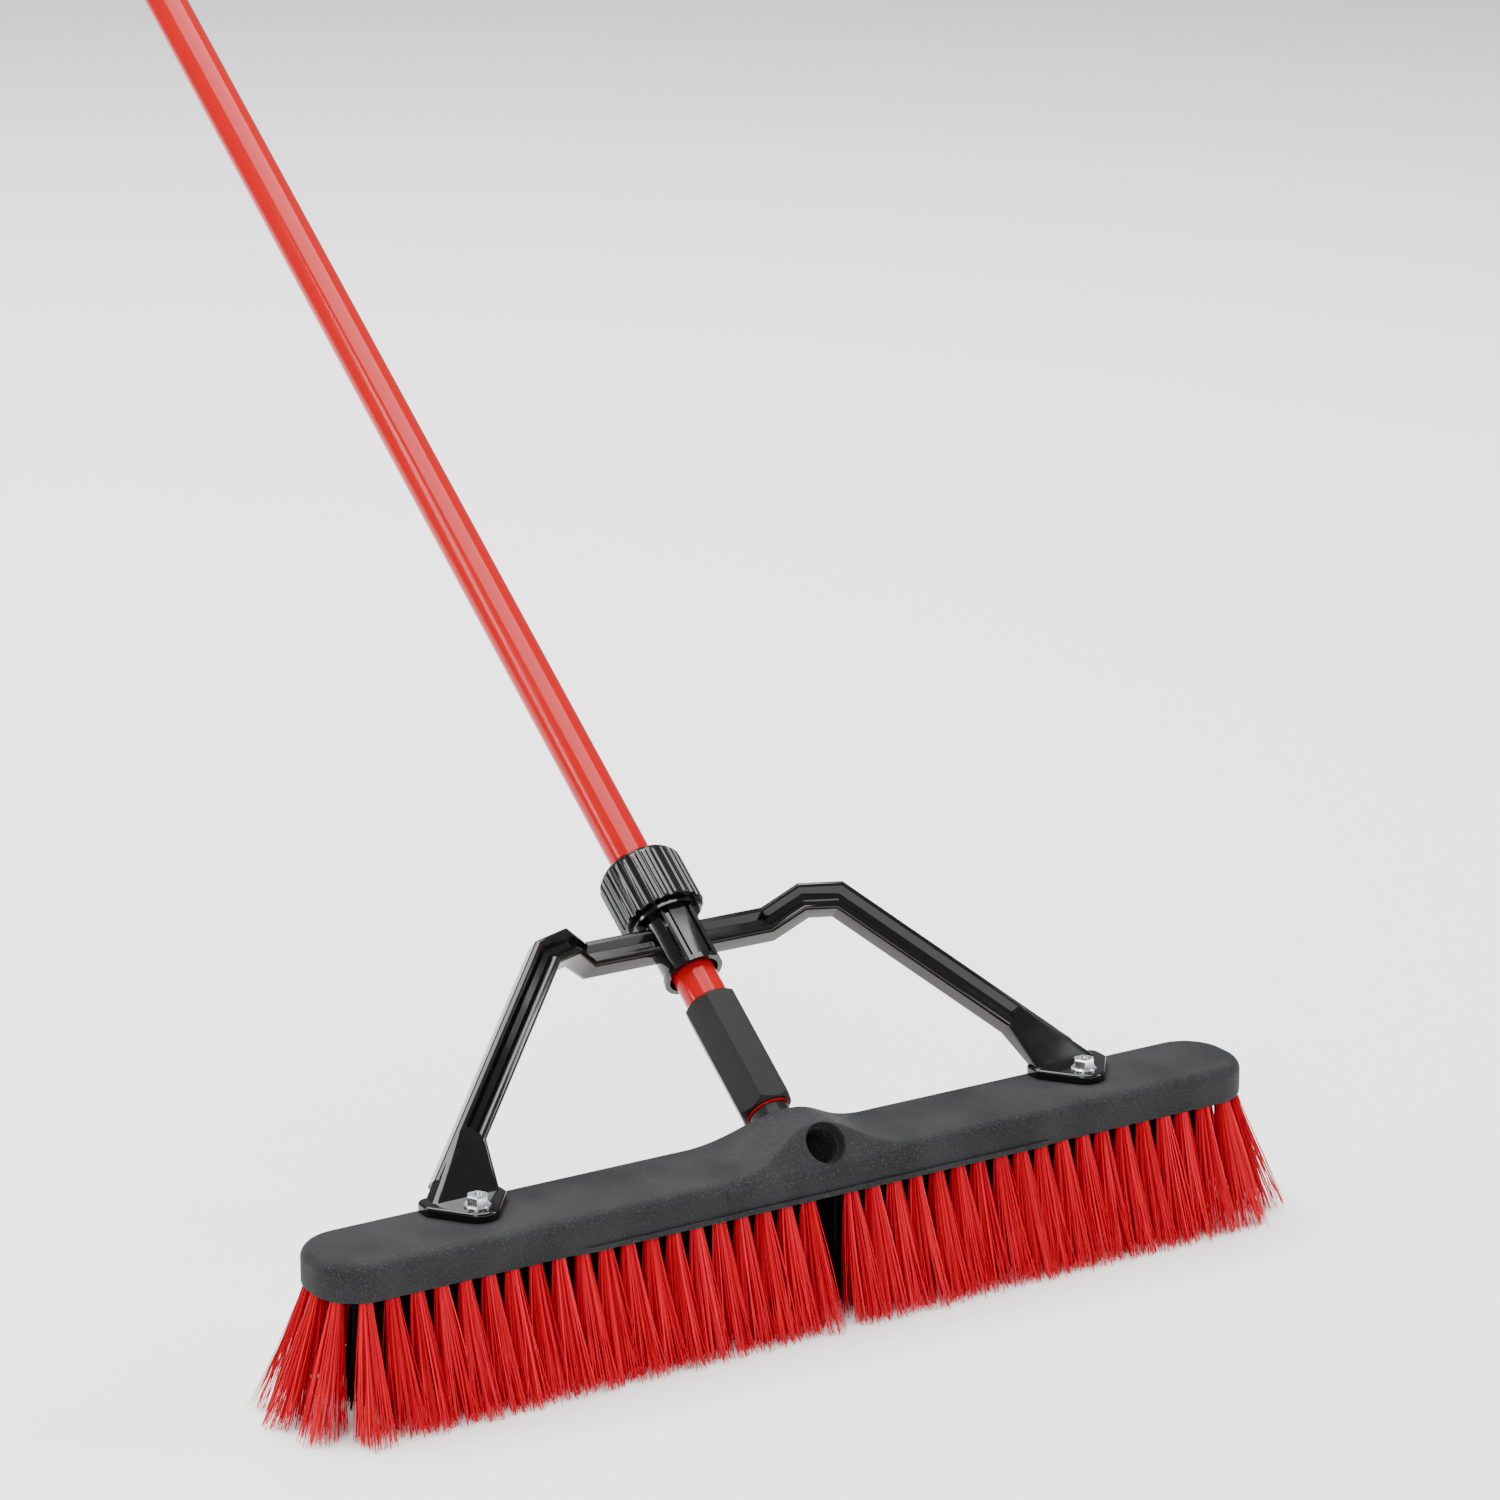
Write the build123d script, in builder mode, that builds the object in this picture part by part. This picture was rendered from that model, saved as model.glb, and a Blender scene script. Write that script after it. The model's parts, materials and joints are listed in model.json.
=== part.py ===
"""Push broom: resin block with five rows of tufts, brace with a clamp, and a screw-in steel handle.

X runs along the block, +Y is the way the handle leans, Z is up.
The origin is on the floor under the middle of the block.
"""
from math import cos, exp, radians, sin
import os

from build123d import *

os.makedirs("parts", exist_ok=True)

# ---- driving dimensions, mm ----
block_length = 610.0
block_width = 61.0
block_thickness = 22.0
trim_height = 72.0  # floor to the underside of the block
block_corner_r = 27.0
block_top_edge_r = 7.0
block_bottom_edge_r = 2.5

lip_length = 335.0
lip_height = 3.0
lip_proud = 1.2
lip_run_out = 18.0

hump_rise = 17.0  # raised centre, above the block's top
hump_reach = 33.0  # half the hump's width where it has sunk to a third
hump_half_length = 66.0
hump_squareness = 2.3
hump_sink = 1.0  # its ends run out this far under the block's top
hump_steps = 6
hump_crest_r = 4.0

handle_lean = 54.0  # from vertical
socket_cross_y = 12.0  # where a socket's axis crosses the block's top
socket_mouth_s = 12.0  # distances s run along the handle's axis from that crossing
socket_shoulder_s = 5.5
socket_end_s = -11.0
socket_counterbore_r = 12.4
socket_crest_r = 10.2
socket_groove_r = 11.5
thread_pitch = 5.0
thread_clear = 0.2
thread_turns = 3
groove_start = 1.5  # first groove above the bottom of the socket

row_pitch_y = 12.0
tuft_pitch = 14.5
straight_tufts = 38
end_tufts = 5
tuft_root_r = 3.2
tuft_hole_clear = 0.3
tuft_insert = 10.8
tuft_hole_depth = 12.4
staple_height = 1.0
staple_thickness = 0.5
outer_tip_lean = 17.0
outer_tip_depth = 32.0
inner_tip_lean = 4.5
tip_depth = 14.6
tip_gap = 0.6

tube_r = 12.7
tube_wall = 0.8
handle_length = 1524.0  # tip of the thread to top of the cap
cap_cover = 40.0
cap_wall = 2.0
cap_crown = 22.0
hang_hole_r = 4.0
tip_shank_s = 18.0  # lower end of the tube and of the hex grip
tip_plug_length = 45.0
tube_below_hex = 1.2  # the tube's end shows under the hex grip
hex_flats = 30.0
hex_length = 78.0
hex_chamfer = 3.0
thread_core_r = 8.4
press_clear = 0.05
moving_clear = 0.4

hub_low_s = 118.0
hub_high_s = 156.0
hub_r = 16.6
hub_lip_r = 18.2
hub_lip_height = 3.0
hub_mouth_r = 15.2
hub_mouth_depth = 14.0
hub_pad_width = 11.0
hub_pad_proud = 0.9
hub_rib_x = 9.5
hub_rib_width = 2.0
neck_r = 20.2
neck_length = 22.0
neck_collar_r = 21.5
neck_collar_height = 3.0
neck_groove = 0.8
neck_grooves = 5
taper_floor = 3.0
taper_clear = 0.3
taper_low_r = 16.2
taper_high_r = 18.2
ring_length = 15.0
ring_split = 2.4
ring_clear = 0.06
ring_below_top = 0.2
knob_r = 26.0
knob_length = 40.0
knob_gap = 0.6  # bottom of the knob above the neck's collar
knob_ribs = 24
knob_rib_height = 1.5
knob_rib_r = 2.5
knob_shoulder_r = 11.0
knob_low_chamfer = 1.2

arm_width = 18.0
arm_depth = 14.0
arm_edge = 2.6
channel_mouth = 10.0  # the channel along the arms' outer face
channel_floor = 3.4
channel_depth = 3.6
arm_s = 142.0
arm_reach = 62.0
kink_inner = (80.0, 116.0, 192.0)  # the arm's corners, and the foot of its leg
kink_outer = (98.5, 108.0, 192.0)
leg_foot = (206.0, 30.0, 99.5)
gusset_reach = 38.0  # how far up the leg its flared base runs

bolt_half_spacing = 201.5
bolt_y = 2.0
bolt_r = 3.0
bolt_into_block = 14.0
bolt_wall = 1.5
bolt_hex_flats = 11.0
bolt_hex_height = 6.0
bolt_flange_r = 7.5
bolt_flange_height = 1.6
bolt_head_chamfer = 0.8
bolt_hole_clear = 0.1
foot_thickness = 5.5
foot_nose_r = 12.5
foot_heel_width = 50.0
foot_heel_depth = 18.0
foot_heel_y = 19.0
foot_edge_r = 1.6
foot_base_inset = 3.0  # the leg's flared base stands inside the foot's heel by this

# ---- places worked out from them ----
block_top = trim_height + block_thickness
lean_y = sin(radians(handle_lean))
lean_z = cos(radians(handle_lean))
handle_plane = Plane(origin=(0, socket_cross_y, block_top), x_dir=(1, 0, 0), z_dir=(0, lean_y, lean_z))
gap_x = tuft_pitch / 2  # the free socket stands over a gap in the front tufts, the handle's beside one
free_plane = Plane(origin=(gap_x, -socket_cross_y, block_top), x_dir=(1, 0, 0), z_dir=(0, -lean_y, lean_z))
hump_x = gap_x / 2
tube_inner_r = tube_r - tube_wall
outer_row_y = 2 * row_pitch_y
half_width = block_width / 2
row_inset = half_width - outer_row_y
tuft_hole_r = tuft_root_r + tuft_hole_clear
front_row_x = [(i - (straight_tufts - 1) / 2) * tuft_pitch for i in range(straight_tufts)]
handle_end_s = socket_end_s + moving_clear + handle_length


def axis_point(s):
    """A point of the handle's axis, s along it from the top of the block."""
    return (0, socket_cross_y + s * lean_y, block_top + s * lean_z)


def end_places(sign):
    """Places of the tufts round one end of the block: they follow its rounded corners."""
    corner_r = block_corner_r - row_inset
    straight_x = block_length / 2 - block_corner_r
    end_x = straight_x + corner_r
    corner_y = outer_row_y - corner_r
    with BuildLine() as path:
        Line((front_row_x[-1], -outer_row_y), (straight_x, -outer_row_y))
        TangentArc((straight_x, -outer_row_y), (end_x, -corner_y), tangent=(1, 0))
        Line((end_x, -corner_y), (end_x, corner_y))
        TangentArc((end_x, corner_y), (straight_x, outer_row_y), tangent=(0, 1))
        Line((straight_x, outer_row_y), (front_row_x[-1], outer_row_y))
    places = []
    for i in range(1, end_tufts + 1):
        share = i / (end_tufts + 1)
        point = path.wire() @ share
        heading = path.wire() % share
        turn = Vector(1, 0, 0).get_signed_angle(heading, Vector(0, 0, 1))
        if sign > 0:
            places.append(Location((point.X, point.Y, 0), (0, 0, turn)))
        else:
            places.append(Location((-point.X, -point.Y, 0), (0, 0, turn + 180)))
    return places


# ---- where the tufts stand ----
front_places = [Location((x, -outer_row_y, 0)) for x in front_row_x if abs(x - gap_x) > 1]
back_places = [Location((x, outer_row_y, 0), (0, 0, 180)) for x in front_row_x if abs(x + gap_x) > 1]
right_places = end_places(1)
left_places = end_places(-1)
middle_x = [(i - straight_tufts / 2) * tuft_pitch for i in range(straight_tufts + 1)]
bolt_room = bolt_r + tuft_hole_r + bolt_wall  # the bolts' holes take the place of one tuft each
middle_places = [Location((x, 0, 0)) for x in middle_x if abs(abs(x) - bolt_half_spacing) > bolt_room]
socket_room = socket_crest_r + tuft_root_r  # and so do the sockets' bores in the rows they reach
front_inner_x = [x for x in front_row_x if abs(x - gap_x) > socket_room]
back_inner_x = [x for x in front_row_x if abs(x) > socket_room]
front_inner_places = [Location((x, -row_pitch_y, 0)) for x in front_inner_x]
back_inner_places = [Location((x, row_pitch_y, 0), (0, 0, 180)) for x in back_inner_x]
red_places = front_places + back_places + right_places + left_places
black_places = middle_places + front_inner_places + back_inner_places


def spots(places):
    """The same places without their turn, for round holes."""
    return [Location(place.position) for place in places]


# ---- block ----
def hump_height(x):
    """Height of the raised centre above the block's top, a bell along X that sinks in at its ends."""
    share = abs(x - hump_x) / hump_reach
    return (hump_rise + hump_sink) * exp(-(share**hump_squareness)) - hump_sink


def hump_half_width(height):
    """Half width of the hump: its two faces stand square to the sockets' axes."""
    mouth_y = socket_cross_y + socket_mouth_s * lean_y
    mouth_z = socket_mouth_s * lean_z
    return mouth_y - (height - mouth_z) * lean_z / lean_y


hump_foot = -0.8 * block_top_edge_r  # the faces of the hump start here, on the block's rounded edge

with BuildPart() as hump:
    for i in range(-hump_steps, hump_steps + 1):
        x = hump_x + hump_half_length * i / hump_steps
        height = hump_height(x)
        with BuildSketch(Plane.YZ.offset(x)) as section:
            with BuildLine():
                Polyline(
                    (-hump_half_width(hump_foot), block_top - block_thickness / 2),
                    (-hump_half_width(hump_foot), block_top + hump_foot),
                    (-hump_half_width(height), block_top + height),
                    (hump_half_width(height), block_top + height),
                    (hump_half_width(hump_foot), block_top + hump_foot),
                    (hump_half_width(hump_foot), block_top - block_thickness / 2),
                    close=True,
                )
            make_face()
            fillet(section.vertices().group_by(Axis.Y)[-1], hump_crest_r)
    loft()

with BuildPart() as block:
    with BuildSketch(Plane.XY.offset(trim_height)):
        RectangleRounded(block_length, block_width, block_corner_r)
    extrude(amount=block_thickness)
    fillet(block.faces().sort_by(Axis.Z)[-1].edges(), block_top_edge_r)
    fillet(block.faces().sort_by(Axis.Z)[0].edges(), block_bottom_edge_r)
    add(hump.part)
    for side in (-1, 1):
        with BuildSketch(Plane.XY.offset(trim_height + block_bottom_edge_r - 2)):
            with BuildLine():
                Polyline(
                    (-lip_length / 2, side * (half_width - 2)),
                    (-lip_length / 2 + lip_run_out, side * (half_width + lip_proud)),
                    (lip_length / 2 - lip_run_out, side * (half_width + lip_proud)),
                    (lip_length / 2, side * (half_width - 2)),
                    close=True,
                )
            make_face()
        extrude(amount=lip_height)
    for plane in (handle_plane, free_plane):
        with BuildSketch(plane.offset(socket_shoulder_s)):
            Circle(socket_counterbore_r)
        extrude(amount=hump_rise * 2, mode=Mode.SUBTRACT)
        with BuildSketch(plane.offset(socket_end_s)):
            Circle(socket_crest_r)
        extrude(amount=socket_shoulder_s - socket_end_s + 1, mode=Mode.SUBTRACT)
        for turn in range(thread_turns):
            with BuildSketch(plane.offset(socket_end_s + groove_start + turn * thread_pitch)):
                Circle(socket_groove_r)
            extrude(amount=thread_pitch / 2, mode=Mode.SUBTRACT)
    with BuildSketch(Plane.XY.offset(trim_height)):
        with Locations(*spots(red_places + black_places)):
            Circle(tuft_hole_r)
    extrude(amount=tuft_hole_depth, mode=Mode.SUBTRACT)
    with BuildSketch(Plane.XY.offset(block_top)):
        with Locations((-bolt_half_spacing, bolt_y), (bolt_half_spacing, bolt_y)):
            Circle(bolt_r + bolt_hole_clear)
    extrude(amount=-(bolt_into_block + 1), mode=Mode.SUBTRACT)
block.part.label = "block"

# ---- tufts and the wire staples that hold them ----
tuft_top = trim_height + tuft_insert



def make_tuft(lean, depth):
    """One tuft at the origin: its tip leans out towards -Y and is this deep along Y."""
    with BuildPart() as tuft:
        with BuildSketch(Plane.XY):
            with Locations((0, -lean)):
                Ellipse(tuft_pitch / 2 - tip_gap, depth / 2)
        with BuildSketch(Plane.XY.offset(trim_height)):
            Circle(tuft_root_r)
        loft(ruled=True)
        with BuildSketch(Plane.XY.offset(trim_height)):
            Circle(tuft_root_r)
        extrude(amount=tuft_insert)
    return tuft


outer_tuft = make_tuft(outer_tip_lean, outer_tip_depth)
inner_tuft = make_tuft(inner_tip_lean, tip_depth)
middle_tuft = make_tuft(0, tip_depth)

tuft_rows = {
    "red_tufts_front": (outer_tuft, front_places),
    "red_tufts_back": (outer_tuft, back_places),
    "red_tufts_right_end": (outer_tuft, right_places),
    "red_tufts_left_end": (outer_tuft, left_places),
    "black_tufts_front_row": (inner_tuft, front_inner_places),
    "black_tufts_middle_row": (middle_tuft, middle_places),
    "black_tufts_back_row": (inner_tuft, back_inner_places),
}
for name, (tuft, places) in tuft_rows.items():
    with BuildPart() as row:
        with Locations(*places):
            add(tuft.part)
    row.part.label = name
    export_step(row.part, f"parts/{name}.step")

for name, places in {"red_tuft_staples": red_places, "black_tuft_staples": black_places}.items():
    with BuildPart() as staples:
        with BuildSketch(Plane.XY.offset(tuft_top + tuft_hole_clear)):
            with Locations(*places):
                Rectangle(2 * tuft_root_r, staple_thickness)
        extrude(amount=staple_height)
    staples.part.label = name
    export_step(staples.part, f"parts/{name}.step")

# ---- brace: hub, threaded neck, two arms with kinks, two legs and two feet ----
hub_centre = Vector(*axis_point(arm_s))
arm_end = hub_centre + Vector(arm_reach, 0, 0)
leg_start = Vector(*leg_foot)
arm_start = hub_centre + Vector(hub_r / 3, 0, 0)
arm_line = [arm_start, arm_end, Vector(*kink_inner), Vector(*kink_outer), leg_start]
arm_section_plane = Plane(origin=arm_start, x_dir=(0, lean_y, lean_z), z_dir=(1, 0, 0))

with BuildPart() as half_brace:
    with BuildLine() as arm_path:
        Polyline(*[tuple(point) for point in arm_line])
    with BuildSketch(arm_section_plane) as arm_section:
        RectangleRounded(arm_width, arm_depth, arm_edge)
        with BuildLine():
            Polyline(
                (-channel_mouth / 2, arm_depth / 2),
                (-channel_floor / 2, arm_depth / 2 - channel_depth),
                (channel_floor / 2, arm_depth / 2 - channel_depth),
                (channel_mouth / 2, arm_depth / 2),
                close=True,
            )
        make_face(mode=Mode.SUBTRACT)
    sweep(path=arm_path.line, transition=Transition.RIGHT)

leg_heading = (leg_start - Vector(*kink_outer)).normalized()
leg_end_edge = half_brace.faces().sort_by_distance(leg_start)[0].edges().sort_by(SortBy.LENGTH)[-1]
gusset_plane = Plane(
    origin=leg_start - leg_heading * gusset_reach,
    x_dir=leg_end_edge % 0.5,
    z_dir=leg_heading,
)

with BuildPart() as half_foot:
    with BuildSketch(Plane.XY.offset(block_top)):
        with Locations((bolt_half_spacing, bolt_y)):
            Circle(foot_nose_r)
        with Locations((bolt_half_spacing, foot_heel_y)):
            RectangleRounded(foot_heel_width, foot_heel_depth, foot_heel_depth / 3)
        make_hull()
    extrude(amount=foot_thickness)
    fillet(half_foot.faces().sort_by(Axis.Z)[-1].edges(), foot_edge_r)
    with BuildSketch(Plane.XY.offset(block_top + foot_thickness / 2)):
        with Locations((bolt_half_spacing, foot_heel_y)):
            RectangleRounded(foot_heel_width, foot_heel_depth, foot_heel_depth / 3)
            offset(amount=-foot_base_inset)
    with BuildSketch(gusset_plane):
        RectangleRounded(arm_width - 0.4, arm_depth - 0.4, arm_edge)
    loft()
    with BuildSketch(Plane.XY.offset(block_top + foot_thickness)):
        with Locations((bolt_half_spacing, bolt_y)):
            Circle(bolt_flange_r + 1)
    extrude(amount=bolt_hex_height * 3, mode=Mode.SUBTRACT)

handle_axis = Axis(handle_plane.origin, handle_plane.z_dir)
profile_plane = Plane(origin=handle_plane.origin, x_dir=(1, 0, 0), z_dir=(0, -lean_z, lean_y))
neck_low_s = hub_high_s + neck_collar_height
neck_top_s = neck_low_s + neck_length

with BuildPart() as brace:
    add(half_brace.part)
    add(half_foot.part)
    mirror(about=Plane.YZ)
    with BuildSketch(handle_plane.offset(hub_low_s)):
        Circle(hub_lip_r)
    extrude(amount=hub_lip_height)
    with BuildSketch(handle_plane.offset(hub_low_s)):
        Circle(hub_r)
        with Locations((0, -hub_r / 2)):
            Rectangle(hub_pad_width, hub_r + 2 * hub_pad_proud)
        with Locations((-hub_rib_x, -hub_r / 2), (hub_rib_x, -hub_r / 2)):
            Rectangle(hub_rib_width, hub_r)
    extrude(amount=hub_high_s - hub_low_s)
    with BuildSketch(handle_plane.offset(hub_high_s)):
        Circle(neck_collar_r)
    extrude(amount=neck_collar_height)
    with BuildSketch(handle_plane.offset(neck_low_s)):
        Circle(neck_r)
    extrude(amount=neck_length)
    for turn in range(neck_grooves):
        with BuildSketch(handle_plane.offset(neck_low_s + (turn + 0.5) * neck_length / neck_grooves)):
            Circle(neck_r)
            Circle(neck_r - neck_groove, mode=Mode.SUBTRACT)
        extrude(amount=neck_groove * 2, mode=Mode.SUBTRACT)
    with BuildSketch(handle_plane.offset(hub_low_s)):
        Circle(hub_mouth_r)
    extrude(amount=hub_mouth_depth, mode=Mode.SUBTRACT)
    with BuildSketch(handle_plane.offset(hub_low_s)):
        Circle(tube_r + moving_clear)
    extrude(amount=neck_top_s - hub_low_s, mode=Mode.SUBTRACT)
    with BuildSketch(profile_plane):
        with BuildLine():
            Polyline(
                (0, neck_low_s + taper_floor),
                (taper_low_r, neck_low_s + taper_floor),
                (taper_high_r, neck_top_s),
                (0, neck_top_s),
                close=True,
            )
        make_face()
    revolve(axis=handle_axis, mode=Mode.SUBTRACT)
    with BuildSketch(Plane.XY.offset(block_top)):
        with Locations((-bolt_half_spacing, bolt_y), (bolt_half_spacing, bolt_y)):
            Circle(bolt_r + bolt_hole_clear)
    extrude(amount=foot_thickness, mode=Mode.SUBTRACT)
brace.part.label = "brace"

# ---- brace bolts: hex flange heads, shanks cut into the block ----
for name, sign in {"brace_bolt_left": -1, "brace_bolt_right": 1}.items():
    seat = Plane.XY.offset(block_top + foot_thickness)
    with BuildPart() as bolt:
        with BuildSketch(seat):
            with Locations((sign * bolt_half_spacing, bolt_y)):
                Circle(bolt_flange_r)
        extrude(amount=bolt_flange_height)
        chamfer(bolt.faces().sort_by(Axis.Z)[-1].edges(), bolt_flange_height / 2)
        with BuildSketch(seat.offset(bolt_flange_height / 2)):
            with Locations((sign * bolt_half_spacing, bolt_y)):
                RegularPolygon(bolt_hex_flats / 2, 6, major_radius=False)
        extrude(amount=bolt_hex_height)
        chamfer(bolt.faces().sort_by(Axis.Z)[-1].edges(), bolt_head_chamfer)
        with BuildSketch(bolt.faces().sort_by(Axis.Z)[-1]):
            Circle(bolt_r)
        extrude(amount=-bolt_head_chamfer, mode=Mode.SUBTRACT)
        with BuildSketch(seat):
            with Locations((sign * bolt_half_spacing, bolt_y)):
                Circle(bolt_r)
        extrude(amount=-(foot_thickness + bolt_into_block))
    bolt.part.label = name
    export_step(bolt.part, f"parts/{name}.step")

# ---- clamp: the knob screws down the neck and pushes the split ring into the taper ----
ring_top_s = neck_top_s - ring_below_top
ring_low_s = ring_top_s - ring_length


def taper_r(s):
    """Radius of the neck's taper at s."""
    share = (s - neck_low_s - taper_floor) / (neck_length - taper_floor)
    return taper_low_r + (taper_high_r - taper_low_r) * share


with BuildPart() as grip_ring:
    with BuildSketch(profile_plane):
        with BuildLine():
            Polyline(
                (tube_r + ring_clear, ring_low_s),
                (taper_r(ring_low_s) - taper_clear, ring_low_s),
                (taper_r(ring_top_s) - taper_clear, ring_top_s),
                (tube_r + ring_clear, ring_top_s),
                close=True,
            )
        make_face()
    revolve(axis=handle_axis)
    with BuildSketch(handle_plane.offset(ring_low_s)):
        with Locations((0, tube_r + ring_split)):
            Rectangle(ring_split, 4 * ring_split)
    extrude(amount=ring_length, mode=Mode.SUBTRACT)
grip_ring.part.label = "grip_ring"

knob_low_s = neck_low_s + knob_gap
knob_roof_s = neck_top_s + taper_clear
knob_turned_r = knob_r + moving_clear  # clear of the ribs' crowns, so this outline shapes only the ends

with BuildPart() as clamp_knob:
    with BuildSketch(handle_plane.offset(knob_low_s)):
        Circle(knob_r - knob_rib_height)
        with PolarLocations(knob_r - knob_rib_r, knob_ribs):
            Circle(knob_rib_r)
    extrude(amount=knob_length)
    with BuildSketch(profile_plane) as envelope:
        with Locations((knob_turned_r / 2, knob_low_s + knob_length / 2)):
            Rectangle(knob_turned_r, knob_length)
        fillet(envelope.vertices().group_by(Axis.Y)[-1].sort_by(Axis.X)[-1], knob_shoulder_r)
        chamfer(envelope.vertices().group_by(Axis.Y)[0].sort_by(Axis.X)[-1], knob_low_chamfer)
    revolve(axis=handle_axis, mode=Mode.INTERSECT)
    with BuildSketch(handle_plane.offset(knob_low_s)):
        Circle(neck_r + moving_clear)
    extrude(amount=knob_roof_s - knob_low_s, mode=Mode.SUBTRACT)
    with BuildSketch(handle_plane.offset(knob_low_s)):
        Circle(tube_r + moving_clear)
    extrude(amount=knob_length, mode=Mode.SUBTRACT)
clamp_knob.part.label = "clamp_knob"

# ---- handle: steel tube, hex grip, threaded tip and cap ----
tube_top_s = handle_end_s - cap_crown

with BuildPart() as handle_tube:
    with BuildSketch(handle_plane.offset(tip_shank_s)):
        Circle(tube_r)
        Circle(tube_inner_r, mode=Mode.SUBTRACT)
    extrude(amount=tube_top_s - tip_shank_s)
handle_tube.part.label = "handle_tube"

hex_low_s = tip_shank_s + tube_below_hex

with BuildPart() as hex_grip:
    with BuildSketch(handle_plane.offset(hex_low_s)):
        RegularPolygon(hex_flats / 2, 6, major_radius=False)
    extrude(amount=hex_length)
    hex_corner_r = hex_flats / 2 / cos(radians(30))
    with BuildSketch(profile_plane) as turned:
        with Locations((hex_corner_r / 2, hex_low_s + hex_length / 2)):
            Rectangle(hex_corner_r, hex_length)
        chamfer(turned.vertices().sort_by(Axis.X)[-2:], hex_chamfer)
    revolve(axis=handle_axis, mode=Mode.INTERSECT)
    with BuildSketch(handle_plane.offset(hex_low_s)):
        Circle(tube_r + press_clear)
    extrude(amount=hex_length, mode=Mode.SUBTRACT)
hex_grip.part.label = "hex_grip"

tip_end_s = socket_end_s + moving_clear
shoulder_s = socket_shoulder_s + moving_clear
thread_crest_r = socket_crest_r - thread_clear

with BuildPart() as threaded_tip:
    with BuildSketch(handle_plane.offset(tip_end_s)):
        Circle(thread_core_r)
    extrude(amount=shoulder_s - tip_end_s)
    chamfer(threaded_tip.edges().filter_by(GeomType.CIRCLE).sort_by(handle_axis)[0], 1)
    for turn in range(thread_turns):
        ring_s = socket_end_s + groove_start + 1 + turn * thread_pitch
        with BuildSketch(profile_plane):
            with BuildLine():
                Polyline(
                    (thread_core_r - 1, ring_s),
                    (thread_core_r, ring_s),
                    (thread_crest_r, ring_s + thread_pitch / 6),
                    (thread_crest_r, ring_s + thread_pitch / 3),
                    (thread_core_r, ring_s + thread_pitch / 2),
                    (thread_core_r - 1, ring_s + thread_pitch / 2),
                    close=True,
                )
            make_face()
        revolve(axis=handle_axis)
    with BuildSketch(handle_plane.offset(shoulder_s)):
        Circle(tube_inner_r - press_clear)
    extrude(amount=tip_shank_s + tip_plug_length - shoulder_s)
threaded_tip.part.label = "threaded_tip"

cap_low_s = tube_top_s - cap_cover
cap_r = tube_r + cap_wall

with BuildPart() as end_cap:
    with BuildSketch(profile_plane) as cap_profile:
        with Locations((cap_r / 2, (cap_low_s + handle_end_s) / 2)):
            Rectangle(cap_r, handle_end_s - cap_low_s)
        fillet(cap_profile.vertices().group_by(Axis.Y)[-1].sort_by(Axis.X)[-1], cap_r - 3)
        fillet(cap_profile.vertices().group_by(Axis.Y)[0].sort_by(Axis.X)[-1], cap_wall / 2)
    revolve(axis=handle_axis)
    with BuildSketch(handle_plane.offset(cap_low_s)):
        Circle(tube_r + press_clear)
    extrude(amount=cap_cover, mode=Mode.SUBTRACT)
    with BuildSketch(Plane.YZ):
        with Locations(axis_point(tube_top_s + cap_crown / 2)[1:]):
            Circle(hang_hole_r)
    extrude(amount=cap_r + 1, both=True, mode=Mode.SUBTRACT)
end_cap.part.label = "end_cap"

for piece in (block, brace, grip_ring, clamp_knob, handle_tube, hex_grip, threaded_tip, end_cap):
    export_step(piece.part, f"parts/{piece.part.label}.step")
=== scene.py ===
"""Push broom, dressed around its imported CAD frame.

Laid out as an add-on: one operator for each group of pieces, a panel that lists them,
and main(), which calls them in order.
"""
import json
import math
import random

import bmesh
import bpy
from mathutils import Matrix, Vector


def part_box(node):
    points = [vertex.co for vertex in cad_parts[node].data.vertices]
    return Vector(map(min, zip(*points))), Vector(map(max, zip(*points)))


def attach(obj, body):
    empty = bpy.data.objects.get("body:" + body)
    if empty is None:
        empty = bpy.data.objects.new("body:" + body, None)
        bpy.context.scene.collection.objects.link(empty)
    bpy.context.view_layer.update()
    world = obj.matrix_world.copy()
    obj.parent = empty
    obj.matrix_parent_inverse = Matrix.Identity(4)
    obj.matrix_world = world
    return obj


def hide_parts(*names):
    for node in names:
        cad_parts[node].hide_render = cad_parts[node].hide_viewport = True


bl_info = {
    "name": "Push Broom",
    "version": (1, 0, 0),
    "blender": (4, 5, 0),
    "location": "View3D > Sidebar > Broom",
    "description": "Builds the bristles, finishes, floor, light and camera of a push broom",
    "category": "Object",
}

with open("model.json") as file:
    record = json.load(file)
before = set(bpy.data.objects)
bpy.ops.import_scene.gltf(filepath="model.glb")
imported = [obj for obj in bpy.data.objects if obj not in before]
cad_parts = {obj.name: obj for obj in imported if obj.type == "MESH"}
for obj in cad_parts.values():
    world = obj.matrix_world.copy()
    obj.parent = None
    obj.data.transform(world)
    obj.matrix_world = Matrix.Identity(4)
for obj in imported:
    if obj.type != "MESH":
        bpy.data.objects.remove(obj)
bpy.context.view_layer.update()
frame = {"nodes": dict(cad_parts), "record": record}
nodes = frame["nodes"]
body_of_node = {n: body for body, ns in frame["record"]["behaviour"]["bodies"].items() for n in ns}

MM = 0.001
ROOT_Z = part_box("block")[0].z  # the block's underside, where the tufts leave it

# welding and easing of the CAD copies
WELD = 2e-6
DEGENERATE = 1e-6
SHARP_ANGLE = 28.0
BLOCK_SHARP_ANGLE = 32.0
EDGE_SEGMENTS = 3

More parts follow.
